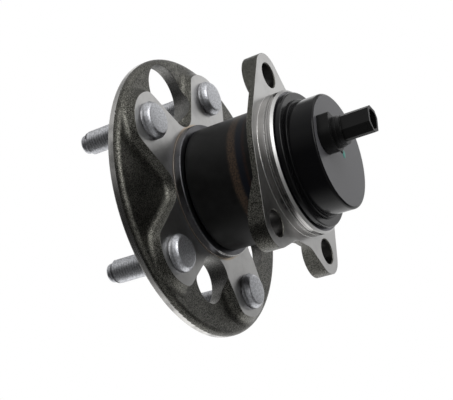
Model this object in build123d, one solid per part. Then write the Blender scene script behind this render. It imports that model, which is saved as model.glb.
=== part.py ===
"""Wheel hub bearing unit: flanged hub, double-row angular contact ball bearing, sensor cap.

The spin axis is the Y axis and the origin lies on it, in the face that the wheel seats on.
The wheel goes on towards +Y.  A depth is a distance from that face towards the car, so a
point at depth d has Y = -d.  The Z = 0 plane is the mirror plane of the knuckle flange.
"""

import os
from math import acos, atan2, cos, degrees, hypot, pi, radians, sin, sqrt

from build123d import *

# --- general ------------------------------------------------------------------------------
run_out = 1.0  # how far a cut or a fused root runs past the surface that it meets
edge_break = 0.6

# --- wheel flange -------------------------------------------------------------------------
flange_radius = 75.8
flange_web = 6.0
flange_rim_land = 2.9
pad_depth = 10.5
stud_circle_radius = 114.3 / 2
stud_count = 5
first_arm_angle = -3.0
arm_tip_reach = 70.5
arm_tip_arc = 20.0
arm_tip_half_width = 15.8
arm_axis_half_width = 19.3
arm_tip_corner = 6.5
arm_valley_rounding = 10.5
arm_flank_run = 2.8
arm_flank_foot = 4.0
arm_tip_dip = 0.5
arm_sink = 1.2
large_window_radius = 16.0
large_window_reach = 56.5
small_window_radius = 12.3
small_window_reach = 48.6

# --- wheel side of the hub ----------------------------------------------------------------
brake_pilot_radius = 31.0
brake_pilot_height = 5.0
wheel_pilot_radius = 30.0
wheel_pilot_height = 13.0
pilot_step_height = 1.0
pilot_lead_in = 2.0
pilot_undercut_width = 3.0
pilot_undercut_depth = 0.8
pilot_bore_radius = 22.0
pilot_bore_draft = 1.0
pilot_bore_corner = 1.5
pilot_bore_floor_height = 1.0
centre_drill_radius = 4.0
centre_drill_depth = 5.0

# --- wheel studs --------------------------------------------------------------------------
stud_thread_radius = 6.0
stud_knurl_radius = 6.6
stud_head_radius = 9.5
stud_head_height = 4.6
stud_head_chamfer_width = 0.9
stud_head_chamfer_height = 1.3
stud_reach = 30.0
stud_point_radius = 4.8
stud_point_length = 2.4
stud_point_cone = 1.0

# --- rolling bearing ----------------------------------------------------------------------
ball_radius = 11.1125 / 2
ball_count = 11
ball_spacing_gap = 1.565
race_clearance = 0.12
inner_shoulder_drop = 2.0
inner_land_drop = 5.2
outer_land_rise = 3.3
cage_inner_drop = 2.1
cage_outer_rise = 2.0
cage_open_overhang = 2.4
cage_back_ring = 2.4
cage_pocket_clearance = 0.15
pitch_radius = (ball_radius + ball_spacing_gap / 2) / sin(pi / ball_count)
groove_radius = ball_radius + race_clearance
outer_race_radius = pitch_radius + groove_radius
inner_race_radius = pitch_radius - groove_radius
inner_shoulder_radius = pitch_radius - inner_shoulder_drop
inner_land_radius = pitch_radius - inner_land_drop
outer_land_radius = pitch_radius + outer_land_rise

# --- outer ring ---------------------------------------------------------------------------
outer_ring_wall = 4.8
barrel_chamfer = 0.6
seal_bore_step = 0.4
seal_bore_length = 6.4
mounting_face_depth = 59.8
ring_plate_thickness = 3.0
ring_plate_rise = 4.9
ear_thickness = 8.8
ear_tip_radius = 12.0
ear_notch_rise = 0.5
ear_notch_fillet = 11.0
ear_back_spread = 12.0
barrel_root_fillet = 1.6
wide_row_x = -22.5
wide_row_half_spacing = 42.0
narrow_row_x = 31.0
narrow_row_half_spacing = 36.0
mounting_hole_radius = 6.5
mounting_hole_chamfer = 0.45
knuckle_pilot_radius = 37.5
knuckle_pilot_length = 8.0
knuckle_pilot_chamfer = 1.1
pilot_groove_depth = 0.25
pilot_groove_width = 0.8
cap_bore_step = 2.4
cap_bore_length = 6.4
barrel_radius = outer_race_radius + outer_ring_wall
seal_bore_radius = outer_race_radius + seal_bore_step
cap_bore_radius = seal_bore_radius + cap_bore_step
ring_plate_radius = knuckle_pilot_radius + ring_plate_rise
ear_notch_radius = barrel_radius + ear_notch_rise
ring_end_depth = mounting_face_depth + knuckle_pilot_length

# --- shoulder of the hub, behind the wheel flange -----------------------------------------
shoulder_rise = 3.0
shoulder_depth = 14.4
shoulder_rounding = 0.7
shoulder_root = 1.1
ring_gap = 0.6
shoulder_radius = barrel_radius + shoulder_rise
outer_ring_face_depth = shoulder_depth + ring_gap
outboard_row_depth = outer_ring_face_depth + seal_bore_length + groove_radius
inboard_row_setback = 8.8
inboard_row_depth = mounting_face_depth - inboard_row_setback

# --- spindle and inner ring ---------------------------------------------------------------
inner_ring_wall = 3.3
inner_ring_front_land = 3.3
inner_ring_back_land = 2.9
inner_ring_chamfer = 0.8
formed_head_gap = 1.4
formed_head_height = 2.6
formed_head_rounding = 1.2
spindle_recess_radius = 8.5
spindle_recess_floor_radius = 5.0
spindle_recess_depth = 8.0
spindle_seat_radius = inner_race_radius - inner_ring_wall
inner_ring_start = inboard_row_depth - groove_radius - inner_ring_front_land
inner_ring_end = inboard_row_depth + groove_radius + inner_ring_back_land

# --- outboard seal ------------------------------------------------------------------------
seal_case_wall = 0.8
seal_case_inset = 0.8
seal_case_length = 4.6
seal_web_rise = 3.5
seal_lip_clearance = 0.15
seal_lip_thickness = 1.2
seal_lip_edge = 0.4
side_lip_reach = 4.0
side_lip_edge = 0.5
side_lip_root = 2.0
seal_web_radius = inner_shoulder_radius + seal_web_rise
seal_web_end = outer_ring_face_depth + seal_case_inset + seal_case_length
seal_web_start = seal_web_end - seal_case_wall

# --- speed encoder ------------------------------------------------------------------------
encoder_wall = 0.8
encoder_hub_length = 3.8
encoder_end_gap = 0.4
encoder_inner_drop = 1.1
encoder_outer_rise = 5.7
encoder_ring_thickness = 1.4
encoder_flange_start = inner_ring_end + encoder_end_gap
encoder_flange_end = encoder_flange_start + encoder_wall
encoder_face = encoder_flange_end + encoder_ring_thickness
encoder_inner_radius = inner_shoulder_radius - encoder_inner_drop
encoder_outer_radius = inner_shoulder_radius + encoder_outer_rise
formed_head_radius = encoder_inner_radius - formed_head_gap

# --- cap sleeve and cap -------------------------------------------------------------------
sleeve_wall = 1.2
sleeve_end_gap = 0.6
sleeve_flange_rise = 4.2
sleeve_flange_thickness = 3.0
sleeve_flange_rounding = 0.8
cap_wall = 2.0
cap_height = 17.6
cap_rounding = 1.4
cap_collar_rise = 1.3
cap_collar_height = 1.4
cap_collar_rounding = 0.5
cap_skirt_length = 4.4
cap_radius = cap_bore_radius - sleeve_wall
cap_face_depth = ring_end_depth + cap_height

# --- wheel speed sensor -------------------------------------------------------------------
stem_radius = 5.2
stem_inset = 3.8
stem_fit = 0.05
stem_boss_wall = 1.8
stem_boss_length = 6.0
sensor_air_gap = 0.9
neck_shift = 3.0
block_outer_width = 9.4
block_inner_width = 7.6
block_top_z = 7.4
block_bottom_z = -9.6
block_top_corner = 1.5
block_bottom_corner = 8.0
block_height = 6.1
collar_radius = 7.8
collar_height = 2.0
neck_radius = 6.8
neck_height = 1.0
lip_radius = 7.2
lip_height = 1.2
shroud_half_width = 5.6
shroud_low_half_width = 5.3
shroud_top_z = 7.0
shroud_bottom_z = -6.0
shroud_top_corner = 2.7
shroud_bottom_corner = 3.0
shroud_foot_half_width = 1.0
shroud_reach = 24.9
shroud_wall = 1.5
socket_depth = 12.0
seal_ring_section = 1.2
seal_ring_inset = 0.9
seal_ring_offset = 1.6
chip_length_x = 3.6
chip_length_z = 5.0
chip_thickness = 1.4
chip_inset = 0.6
pin_width = 1.5
pin_thickness = 0.64
pin_spacing = 4.0
pin_reach = 8.5
pin_root = 6.0
pin_point_chamfer = 0.3
stem_x = stem_inset - (encoder_inner_radius + encoder_outer_radius) / 2
neck_x = stem_x + neck_shift
sensor_tip_depth = encoder_face + sensor_air_gap
shroud_end_depth = cap_face_depth + shroud_reach
socket_floor_depth = shroud_end_depth - socket_depth


def plane_at(depth):
    """Sketch plane at a depth: local x is X, local y is Z, and extruding goes towards the car."""
    return Plane(origin=(0, -depth, 0), x_dir=(1, 0, 0), z_dir=(0, -1, 0))


def slab(sketch, start, end):
    """Solid of a sketch between two depths."""
    return extrude(plane_at(start) * sketch, amount=end - start, dir=(0, -1, 0))


def turned(*points):
    """Solid of revolution about the spin axis from (radius, depth) corners."""
    outline = Polyline(*[(radius, -depth) for radius, depth in points], close=True)
    return revolve(make_face(outline), axis=Axis.Y)


def rod(radius, start, end, x=0.0, z=0.0):
    """Cylinder parallel to the spin axis between two depths."""
    return slab(Pos(x, z) * Circle(radius), start, end)


def groove_ring(depth, radius, section):
    """Torus about the spin axis."""
    return Pos(0, -depth, 0) * Rot(90, 0, 0) * Torus(radius, section)


def polar(reach, angle):
    """Point of a sketch at an angle from +Z towards +X."""
    return reach * sin(radians(angle)), reach * cos(radians(angle))


def edges_at(part, radius, depth, tolerance=0.02):
    """Circular edges about the spin axis at one radius and depth."""
    return [
        edge
        for edge in part.edges().filter_by(GeomType.CIRCLE)
        if abs(edge.radius - radius) < tolerance
        and abs(edge.arc_center.Y + depth) < tolerance
        and hypot(edge.arc_center.X, edge.arc_center.Z) < tolerance
    ]


def arm_outline():
    """Outline of one arm pad along +Z: straight flaring sides and a bowed tip."""
    arc_centre = arm_tip_reach - arm_tip_arc
    corner_x = arm_tip_half_width
    corner_z = arc_centre + sqrt(arm_tip_arc**2 - corner_x**2)
    root_x = arm_axis_half_width
    tip = ThreePointArc((-corner_x, corner_z), (0, arm_tip_reach), (corner_x, corner_z))
    sides = Polyline((corner_x, corner_z), (root_x, 0), (-root_x, 0), (-corner_x, corner_z))
    return make_face([tip, *sides.edges()])


def pad_outline():
    """Outline of the five arm pads: soft corners at the tips and round valleys between them."""
    arm = arm_outline()
    arm_sector = 360 / stud_count
    star = arm
    for index in range(1, stud_count):
        star += Rot(0, 0, -index * arm_sector) * arm
    far_reach = stud_circle_radius
    valleys = [corner for corner in star.vertices() if Vector(corner).length < far_reach]
    star = fillet(valleys, arm_valley_rounding)
    tips = [corner for corner in star.vertices() if Vector(corner).length > far_reach]
    return Rot(0, 0, -first_arm_angle) * fillet(tips, arm_tip_corner)


def build_arms():
    """Raised arms in one piece, with drafted flanks that run down into the web."""
    pads = plane_at(pad_depth) * pad_outline()
    draft = degrees(atan2(arm_flank_run, pad_depth - flange_web))
    height = pad_depth - flange_web + arm_sink
    return extrude(pads, amount=height, dir=(0, 1, 0), taper=-draft)


def flank_feet(flange):
    """Edges where the flanks of the arms run down into the web or its rounded rim."""
    rim_edges = edges_at(flange, flange_radius - flange_web + flange_rim_land, flange_web)
    return [
        edge
        for edge in flange.edges()
        if abs(edge.center().Y + flange_web) < arm_tip_dip
        and shoulder_radius < hypot(edge.center().X, edge.center().Z) < flange_radius
        and edge not in rim_edges
    ]


def window(reach, radius, sector):
    """Through hole in the web, midway between two arms; sector counts from the first arm."""
    x, z = polar(reach, first_arm_angle + (sector + 0.5) * 360 / stud_count)
    return rod(radius, -run_out, pad_depth + run_out, x, z)


def stud_places():
    """Centres of the stud holes as (x, z)."""
    return [
        polar(stud_circle_radius, first_arm_angle + index * 360 / stud_count)
        for index in range(stud_count)
    ]


def build_flange():
    """Disc with a rounded rim, raised arms with soft feet, and the shoulder."""
    disc = rod(flange_radius, 0, flange_web)
    disc = fillet(edges_at(disc, flange_radius, flange_web), flange_web - flange_rim_land)
    disc = chamfer(edges_at(disc, flange_radius, 0), edge_break)
    shoulder = rod(shoulder_radius, run_out, shoulder_depth)
    shoulder = fillet(edges_at(shoulder, shoulder_radius, shoulder_depth), shoulder_rounding)
    flange = disc + build_arms() + shoulder
    return fillet(flank_feet(flange), arm_flank_foot)


def build_spindle():
    """Seal land, outboard raceway, seat of the inner ring and the formed head that holds it."""
    root_radius = inner_shoulder_radius + shoulder_root
    head_end = inner_ring_end + formed_head_height
    spindle = turned(
        (0, shoulder_depth - run_out),
        (root_radius, shoulder_depth - run_out),
        (root_radius, shoulder_depth),
        (inner_shoulder_radius, shoulder_depth + shoulder_root),
        (inner_shoulder_radius, outboard_row_depth),
        (inner_land_radius, outboard_row_depth),
        (inner_land_radius, inner_ring_start),
        (spindle_seat_radius, inner_ring_start),
        (spindle_seat_radius, inner_ring_end),
        (formed_head_radius, inner_ring_end),
        (formed_head_radius, head_end),
        (0, head_end),
    )
    spindle -= groove_ring(outboard_row_depth, pitch_radius, groove_radius)
    spindle = fillet(edges_at(spindle, formed_head_radius, head_end), formed_head_rounding)
    return spindle - turned(
        (0, head_end - spindle_recess_depth),
        (spindle_recess_floor_radius, head_end - spindle_recess_depth),
        (spindle_recess_radius, head_end + run_out),
        (0, head_end + run_out),
    )


def build_pilot():
    """Stepped pilot that centres the brake disc and the wheel."""
    step = -brake_pilot_height - pilot_step_height
    return turned(
        (0, run_out),
        (brake_pilot_radius, run_out),
        (brake_pilot_radius, -brake_pilot_height),
        (wheel_pilot_radius, step),
        (wheel_pilot_radius, pilot_lead_in - wheel_pilot_height),
        (wheel_pilot_radius - pilot_lead_in, -wheel_pilot_height),
        (0, -wheel_pilot_height),
    )


def pilot_recess():
    """Cut for the drafted bore of the pilot and the centre drilling in its floor."""
    floor = -pilot_bore_floor_height
    mouth = -wheel_pilot_height - run_out
    return turned(
        (0, mouth),
        (pilot_bore_radius + pilot_bore_draft, mouth),
        (pilot_bore_radius, floor - pilot_bore_corner),
        (pilot_bore_radius - pilot_bore_corner, floor),
        (centre_drill_radius, floor),
        (0, floor + centre_drill_depth),
    )


def pilot_undercut():
    """Cut for the relief groove in the wheel face, around the pilot."""
    outside = brake_pilot_radius + pilot_undercut_width
    return turned(
        (brake_pilot_radius, -run_out),
        (outside, -run_out),
        (outside, pilot_undercut_depth),
        (brake_pilot_radius, pilot_undercut_depth),
    )


def build_hub():
    """Forged wheel hub: flange with arms, pilots, seal land, raceway and spindle."""
    hub = build_flange() + build_spindle() + build_pilot()
    hub -= pilot_undercut()
    hub -= pilot_recess()
    hub -= window(large_window_reach, large_window_radius, -1)
    hub -= window(small_window_reach, small_window_radius, 1)
    hub -= window(small_window_reach, small_window_radius, 2)
    for x, z in stud_places():
        hub -= rod(stud_knurl_radius, -run_out, pad_depth + run_out, x, z)
    return hub


def build_studs():
    """Pressed-in wheel studs with plain threads, one solid each."""
    head_end = pad_depth + stud_head_height
    point_start = stud_point_length - stud_reach
    stud = turned(
        (0, -stud_reach),
        (stud_point_radius - edge_break, -stud_reach),
        (stud_point_radius, edge_break - stud_reach),
        (stud_point_radius, point_start),
        (stud_thread_radius, point_start + stud_point_cone),
        (stud_thread_radius, 0),
        (stud_knurl_radius, 0),
        (stud_knurl_radius, pad_depth),
        (stud_head_radius, pad_depth),
        (stud_head_radius, head_end - stud_head_chamfer_height),
        (stud_head_radius - stud_head_chamfer_width, head_end),
        (0, head_end),
    )
    return [Pos(x, 0, z) * stud for x, z in stud_places()]


def wide_ear():
    """Centre of the upper ear on the -X side, and the side its notch is on."""
    return Vector(wide_row_x, wide_row_half_spacing), -1


def narrow_ear():
    """Centre of the upper ear on the +X side, and the side its notch is on."""
    return Vector(narrow_row_x, narrow_row_half_spacing), 1


def ear_places():
    """Centres of the four knuckle bolt holes as (x, z)."""
    upper = [wide_ear()[0], narrow_ear()[0]]
    return [(centre.X, side * centre.Y) for side in (1, -1) for centre in upper]


def tangent_ends(centre, radius, side):
    """Ends of the line that touches both the tip circle and a circle about the spin axis."""
    spread = degrees(acos((radius - ear_tip_radius) / centre.length))
    normal = centre.normalized().rotate(Axis.Z, side * spread)
    return normal * radius, centre + normal * ear_tip_radius


def ear_web(centre, notch_side):
    """Face of one ear: a round tip whose outer side runs onto the plate's circle."""
    outer_root, outer_tip = tangent_ends(centre, ring_plate_radius, -notch_side)
    notch_root, notch_tip = tangent_ends(centre, ear_notch_radius, notch_side)
    corners = [(0, 0), outer_root, outer_tip, centre, notch_tip, notch_root]
    web = make_face(Polyline(*[Vector(corner) for corner in corners], close=True))
    return web + Pos(centre.X, centre.Y) * Circle(ear_tip_radius)


def flange_outline():
    """Outline of the knuckle flange: a round plate with four ears and two soft notches."""
    upper = ear_web(*wide_ear()) + ear_web(*narrow_ear())
    outline = Circle(ring_plate_radius) + upper + mirror(upper, Plane.XZ)
    notch_half_width = ring_plate_radius / 2
    roots = [
        corner
        for corner in outline.vertices()
        if abs(Vector(corner).length - ring_plate_radius) < 0.01
        and abs(corner.X) < notch_half_width
    ]
    return fillet(roots, ear_notch_fillet)


def ear_boss(x, z):
    """Thick back of one ear: a flat seat around the hole, and a long slope down to the plate."""
    back = mounting_face_depth - ear_thickness
    front = mounting_face_depth - ring_plate_thickness
    boss = turned(
        (0, back),
        (ear_tip_radius, back),
        (ear_tip_radius + ear_back_spread, front),
        (0, front),
    )
    return Pos(x, 0, z) * boss


def mounting_hole(x, z):
    """Cut for one knuckle bolt, with a small countersink in the mounting face."""
    face = mounting_face_depth
    hole = turned(
        (0, face - ear_thickness - run_out),
        (mounting_hole_radius, face - ear_thickness - run_out),
        (mounting_hole_radius, face - mounting_hole_chamfer),
        (mounting_hole_radius + mounting_hole_chamfer + run_out, face + run_out),
        (0, face + run_out),
    )
    return Pos(x, 0, z) * hole


def outer_ring_bore():
    """Cut for the seal bore, the raceways with their central land and the cap bore."""
    mouth = outer_ring_face_depth
    seal_end = mouth + seal_bore_length
    cap_seat = ring_end_depth - cap_bore_length
    return turned(
        (0, mouth - run_out),
        (seal_bore_radius + edge_break + run_out, mouth - run_out),
        (seal_bore_radius, mouth + edge_break),
        (seal_bore_radius, seal_end),
        (outer_race_radius, seal_end),
        (outer_race_radius, outboard_row_depth),
        (outer_land_radius, outboard_row_depth),
        (outer_land_radius, inboard_row_depth),
        (outer_race_radius, inboard_row_depth),
        (outer_race_radius, inboard_row_depth + groove_radius),
        (seal_bore_radius, inboard_row_depth + groove_radius),
        (seal_bore_radius, cap_seat),
        (cap_bore_radius, cap_seat),
        (cap_bore_radius, ring_end_depth - edge_break),
        (cap_bore_radius + edge_break + run_out, ring_end_depth + run_out),
        (0, ring_end_depth + run_out),
    )


def knuckle_pilot_groove():
    """Cut for the shallow sealing groove around the knuckle pilot."""
    middle = mounting_face_depth + knuckle_pilot_length / 2
    start = middle - pilot_groove_width / 2
    end = middle + pilot_groove_width / 2
    floor = knuckle_pilot_radius - pilot_groove_depth
    outside = knuckle_pilot_radius + run_out
    return turned((floor, start), (outside, start), (outside, end), (floor, end))


def build_outer_ring():
    """Outer ring: barrel, knuckle flange with four ears, knuckle pilot, raceways and bores."""
    face = mounting_face_depth
    barrel = rod(barrel_radius, outer_ring_face_depth, face)
    barrel = chamfer(edges_at(barrel, barrel_radius, outer_ring_face_depth), barrel_chamfer)
    outline = flange_outline()
    plate_back = face - ring_plate_thickness
    ring = barrel + slab(outline, plate_back, face)
    ring = fillet(edges_at(ring, barrel_radius, plate_back), barrel_root_fillet)
    column = slab(outline, face - ear_thickness, face)
    for x, z in ear_places():
        ring += ear_boss(x, z) & column
    pilot = rod(knuckle_pilot_radius, face - run_out, ring_end_depth)
    pilot = chamfer(
        edges_at(pilot, knuckle_pilot_radius, ring_end_depth), knuckle_pilot_chamfer
    )
    ring += pilot
    ring -= outer_ring_bore()
    ring -= knuckle_pilot_groove()
    for depth in (outboard_row_depth, inboard_row_depth):
        ring -= groove_ring(depth, pitch_radius, groove_radius)
    for x, z in ear_places():
        ring -= mounting_hole(x, z)
    return ring


def build_inner_ring():
    """Separate inner ring that carries the inboard raceway."""
    ring = turned(
        (spindle_seat_radius, inner_ring_start),
        (inner_land_radius, inner_ring_start),
        (inner_land_radius, inboard_row_depth),
        (inner_shoulder_radius, inboard_row_depth),
        (inner_shoulder_radius, inner_ring_end - inner_ring_chamfer),
        (inner_shoulder_radius - inner_ring_chamfer, inner_ring_end),
        (spindle_seat_radius, inner_ring_end),
    )
    return ring - groove_ring(inboard_row_depth, pitch_radius, groove_radius)


def ball_row(row_depth, lead_angle, radius):
    """Spheres on the ball centres of one row."""
    ball = Pos(0, -row_depth, pitch_radius) * Sphere(radius)
    return [Rot(0, lead_angle + index * 360 / ball_count, 0) * ball for index in range(ball_count)]


def build_cage(row_depth, inward, lead_angle):
    """Crown cage of one row; inward is +1 where its back ring lies at the greater depth."""
    inner = pitch_radius - cage_inner_drop
    outer = pitch_radius + cage_outer_rise
    front = row_depth - inward * cage_open_overhang
    back = row_depth + inward * (ball_radius + cage_back_ring)
    cage = turned((inner, front), (outer, front), (outer, back), (inner, back))
    for pocket in ball_row(row_depth, lead_angle, ball_radius + cage_pocket_clearance):
        cage -= pocket
    return cage


def build_seal_case():
    """Steel case of the outboard seal, pressed into the outer ring."""
    inside = seal_bore_radius - seal_case_wall
    start = outer_ring_face_depth + seal_case_inset
    return turned(
        (inside, start),
        (seal_bore_radius, start),
        (seal_bore_radius, seal_web_end),
        (seal_web_radius, seal_web_end),
        (seal_web_radius, seal_web_start),
        (inside, seal_web_start),
    )


def build_seal_lip():
    """Rubber of the outboard seal: a radial lip on the seal land and a side lip on the hub."""
    land = inner_shoulder_radius + seal_lip_clearance
    inner_root = land + seal_lip_thickness
    lip_edge = seal_web_end - seal_lip_thickness
    side = shoulder_depth + seal_lip_clearance
    return turned(
        (seal_web_radius, seal_web_end),
        (inner_root, seal_web_end),
        (land, lip_edge),
        (land, lip_edge - seal_lip_edge),
        (inner_root, lip_edge - 2 * seal_lip_edge),
        (land + side_lip_reach, side),
        (land + side_lip_reach + side_lip_edge, side),
        (inner_root + side_lip_root, seal_web_start),
        (seal_web_radius, seal_web_start),
    )


def build_encoder_carrier():
    """Steel carrier of the speed encoder, pressed on the shoulder of the inner ring."""
    hub_start = encoder_flange_end - encoder_hub_length
    hub_outside = inner_shoulder_radius + encoder_wall
    return turned(
        (inner_shoulder_radius, hub_start),
        (hub_outside, hub_start),
        (hub_outside, encoder_flange_start),
        (encoder_outer_radius, encoder_flange_start),
        (encoder_outer_radius, encoder_flange_end),
        (encoder_inner_radius, encoder_flange_end),
        (encoder_inner_radius, encoder_flange_start),
        (inner_shoulder_radius, encoder_flange_start),
    )


def build_encoder_ring():
    """Magnetised rubber ring bonded to the carrier."""
    return turned(
        (encoder_inner_radius, encoder_flange_end),
        (encoder_outer_radius, encoder_flange_end),
        (encoder_outer_radius, encoder_face),
        (encoder_inner_radius, encoder_face),
    )


def build_cap_sleeve():
    """Steel sleeve pressed into the outer ring, with the flange that stops it."""
    seat = ring_end_depth
    top = seat + sleeve_flange_thickness
    start = seat - cap_bore_length + sleeve_end_gap
    flange = cap_bore_radius + sleeve_flange_rise
    sleeve = turned(
        (cap_radius, start),
        (cap_bore_radius, start),
        (cap_bore_radius, seat),
        (flange, seat),
        (flange, top),
        (cap_radius, top),
    )
    rims = edges_at(sleeve, flange, top) + edges_at(sleeve, flange, seat)
    return fillet(rims, sleeve_flange_rounding)


def build_end_cap():
    """Moulded cap that closes the sleeve, with a boss around the sensor's stem."""
    inside = cap_radius - cap_wall
    roof = cap_face_depth - cap_wall
    start = ring_end_depth - cap_skirt_length
    boss_start = roof - stem_boss_length
    collar = cap_radius + cap_collar_rise
    collar_start = ring_end_depth + sleeve_flange_thickness
    collar_end = collar_start + cap_collar_height
    cap = turned(
        (inside, start),
        (cap_radius, start),
        (cap_radius, collar_start),
        (collar, collar_start),
        (collar, collar_end),
        (cap_radius, collar_end),
        (cap_radius, cap_face_depth),
        (0, cap_face_depth),
        (0, roof),
        (inside, roof),
    )
    cap = fillet(edges_at(cap, cap_radius, cap_face_depth), cap_rounding)
    cap = fillet(edges_at(cap, collar, collar_end), cap_collar_rounding)
    cap += rod(stem_radius + stem_boss_wall, boss_start, roof + run_out, stem_x)
    return cap - rod(stem_radius + stem_fit, boss_start - run_out, cap_face_depth + run_out, stem_x)


def shroud_outline():
    """Eight-sided outline of the connector shroud, with longer bevels below."""
    right = [
        (shroud_half_width - shroud_top_corner, shroud_top_z),
        (shroud_half_width, shroud_top_z - shroud_top_corner),
        (shroud_low_half_width, shroud_bottom_z + shroud_bottom_corner),
        (shroud_foot_half_width, shroud_bottom_z),
    ]
    left = [(-x, z) for x, z in reversed(right)]
    return Pos(neck_x, 0) * make_face(Polyline(*right, *left, close=True))


def block_outline():
    """Outline of the sensor's base block: square shoulders above, round below."""
    width = block_outer_width + block_inner_width
    height = block_top_z - block_bottom_z
    outline = Rectangle(width, height)
    outline = fillet(outline.vertices().group_by(Axis.Y)[-1], block_top_corner)
    outline = fillet(outline.vertices().group_by(Axis.Y)[0], block_bottom_corner)
    middle_x = neck_x + (block_inner_width - block_outer_width) / 2
    return Pos(middle_x, block_bottom_z + height / 2) * outline


def chip_outline():
    """Outline of the chip, towards the outer side of the stem."""
    centre_x = stem_x - stem_radius + chip_inset + chip_length_x / 2
    return Pos(centre_x, 0) * Rectangle(chip_length_x, chip_length_z)


def seal_ring_band(outer):
    """Ring about the stem, where the rubber ring sits in the cap's boss."""
    middle = cap_face_depth - cap_wall - seal_ring_offset
    band = Circle(outer) - Circle(stem_radius - seal_ring_inset)
    half = seal_ring_section / 2
    return slab(Pos(stem_x, 0) * band, middle - half, middle + half)


def pin_blank(z, end):
    """Rectangular bar of one terminal pin, from its root to a depth."""
    outline = Pos(neck_x, z) * Rectangle(pin_thickness, pin_width)
    return slab(outline, socket_floor_depth - pin_root, end)


def build_sensor_housing():
    """Moulded sensor body: stem inside the cap, base block, ribbed neck and open shroud."""
    depth = cap_face_depth + block_height
    body = slab(block_outline(), cap_face_depth, depth)
    body += rod(stem_radius, sensor_tip_depth, cap_face_depth + run_out, stem_x)
    for radius, height in (
        (collar_radius, collar_height),
        (neck_radius, neck_height),
        (lip_radius, lip_height),
    ):
        body += rod(radius, depth - run_out, depth + height, neck_x)
        depth += height
    body += slab(shroud_outline(), depth - run_out, shroud_end_depth)
    socket = offset(shroud_outline(), -shroud_wall, kind=Kind.INTERSECTION)
    body -= slab(socket, socket_floor_depth, shroud_end_depth + run_out)
    body -= seal_ring_band(stem_radius + run_out)
    body -= slab(chip_outline(), sensor_tip_depth - run_out, sensor_tip_depth + chip_thickness)
    for z in (pin_spacing / 2, -pin_spacing / 2):
        body -= pin_blank(z, socket_floor_depth + run_out)
    return body


def build_chip():
    """Speed sensing chip, flush with the sensor's reading face."""
    return slab(chip_outline(), sensor_tip_depth, sensor_tip_depth + chip_thickness)


def build_pin(z):
    """Terminal pin that stands in the socket floor."""
    pin = pin_blank(z, socket_floor_depth + pin_reach)
    tip_edges = pin.faces().sort_by(Axis.Y)[0].edges().filter_by(Axis.X)
    return chamfer(tip_edges, pin_point_chamfer)


def build_seal_ring():
    """Square-section rubber ring between the stem and the cap's boss."""
    return seal_ring_band(stem_radius + stem_fit)


def build_all():
    """Every sub-part by node name."""
    nodes = {
        "outer_ring": build_outer_ring(),
        "hub_flange": build_hub(),
        "wheel_studs": Compound(children=build_studs()),
        "inner_ring": build_inner_ring(),
        "outboard_seal_case": build_seal_case(),
        "outboard_seal_lip": build_seal_lip(),
        "encoder_carrier": build_encoder_carrier(),
        "encoder_ring": build_encoder_ring(),
        "cap_sleeve": build_cap_sleeve(),
        "end_cap": build_end_cap(),
        "sensor_housing": build_sensor_housing(),
        "sensor_chip": build_chip(),
        "sensor_seal_ring": build_seal_ring(),
    }
    nodes["terminal_pin_upper"] = build_pin(pin_spacing / 2)
    nodes["terminal_pin_lower"] = build_pin(-pin_spacing / 2)
    rows = (
        ("outboard", outboard_row_depth, 1, 0.0),
        ("inboard", inboard_row_depth, -1, 180 / ball_count),
    )
    for row, depth, inward, lead_angle in rows:
        nodes[f"{row}_cage"] = build_cage(depth, inward, lead_angle)
        for index, ball in enumerate(ball_row(depth, lead_angle, ball_radius), start=1):
            nodes[f"{row}_ball_{index:02d}"] = ball
    return nodes


os.makedirs("parts", exist_ok=True)
for node_name, shape in build_all().items():
    export_step(shape, f"parts/{node_name}.step")
    print(node_name, len(shape.solids()), round(shape.volume))
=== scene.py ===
"""Finishes, threaded studs and studio for a wheel hub bearing unit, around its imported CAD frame.

The frame is in metres.  Sizes here are in millimetres, and a comment says where one is not.  The
spin axis is Y, and the wheel goes on towards +Y.  A depth is a distance from the wheel's seat
towards the car, so a point at depth d has Y = -d.  A reach is a distance from the spin axis.
"""

import logging
import math
from dataclasses import dataclass, field
from enum import Enum
from functools import reduce
from typing import Callable, Sequence

import bmesh
import bpy
from mathutils import Matrix, Vector


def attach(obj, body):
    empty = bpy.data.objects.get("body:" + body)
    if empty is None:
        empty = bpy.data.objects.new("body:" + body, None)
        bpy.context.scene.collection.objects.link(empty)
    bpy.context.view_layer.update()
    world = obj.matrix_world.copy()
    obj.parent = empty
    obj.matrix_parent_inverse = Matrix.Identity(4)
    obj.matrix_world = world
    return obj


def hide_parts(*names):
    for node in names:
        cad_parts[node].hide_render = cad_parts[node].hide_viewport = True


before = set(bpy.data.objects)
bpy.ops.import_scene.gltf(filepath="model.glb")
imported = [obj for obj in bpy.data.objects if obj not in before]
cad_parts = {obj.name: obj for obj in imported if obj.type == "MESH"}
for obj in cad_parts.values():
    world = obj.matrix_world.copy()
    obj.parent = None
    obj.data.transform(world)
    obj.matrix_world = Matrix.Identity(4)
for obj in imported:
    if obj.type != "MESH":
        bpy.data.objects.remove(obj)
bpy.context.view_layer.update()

log = logging.getLogger("hub_unit")

Colour = tuple[float, float, float]
Pair = tuple[float, float]
Socket = bpy.types.NodeSocket

MM = 0.001
AXIS = Vector((0.0, 1.0, 0.0))
WHITE = (1.0, 1.0, 1.0)
# Shares of a face's normal along the spin axis: it counts as square to the axis above FLAT, and as
# a side wall below SIDE.  A point counts as being on a size when it is within CLOSE of it.
FLAT = 0.985
SIDE = 0.3
CLOSE = 0.06
# Dot products of the rounded and the true normal where an edge starts and where it is fullest.
EDGE_RANGE = (0.995, 0.93)
EDGE_SAMPLES = 6


def toned(colour: Colour, factor: float) -> Colour:
    """A colour times a factor."""
    return tuple(part * factor for part in colour)


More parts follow.
